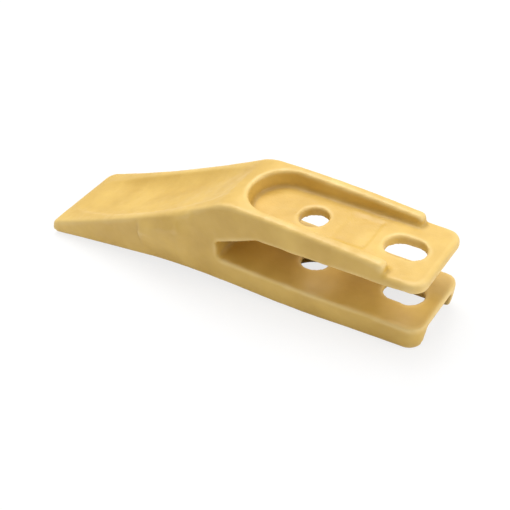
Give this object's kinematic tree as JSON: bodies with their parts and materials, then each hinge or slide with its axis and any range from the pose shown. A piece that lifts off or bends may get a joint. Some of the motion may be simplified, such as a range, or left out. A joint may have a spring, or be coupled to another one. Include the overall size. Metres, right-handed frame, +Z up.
{
  "type": "bucket tooth",
  "caption": "Cast two-strap bucket tooth: a scooped chisel blade, a jaw that grips the bucket's lip, a round bolt hole and a bolt slot through both straps.",
  "frame": {"origin": "on the ground under the middle of the casting's box, as it rests on its cutting edge and on the underside of its lower strap", "axes": "+X runs from the cutting edge back to the straps' ends, +Y across the casting away from the gate stub, +Z up"},
  "size_m": [0.3152, 0.0761, 0.0765],
  "materials": {
    "cast_paint": "satin, mustard paint over a sand-cast skin"
  },
  "bodies": {
    "root": {"bucket_tooth": "cast_paint"}
  },
  "joints": []
}
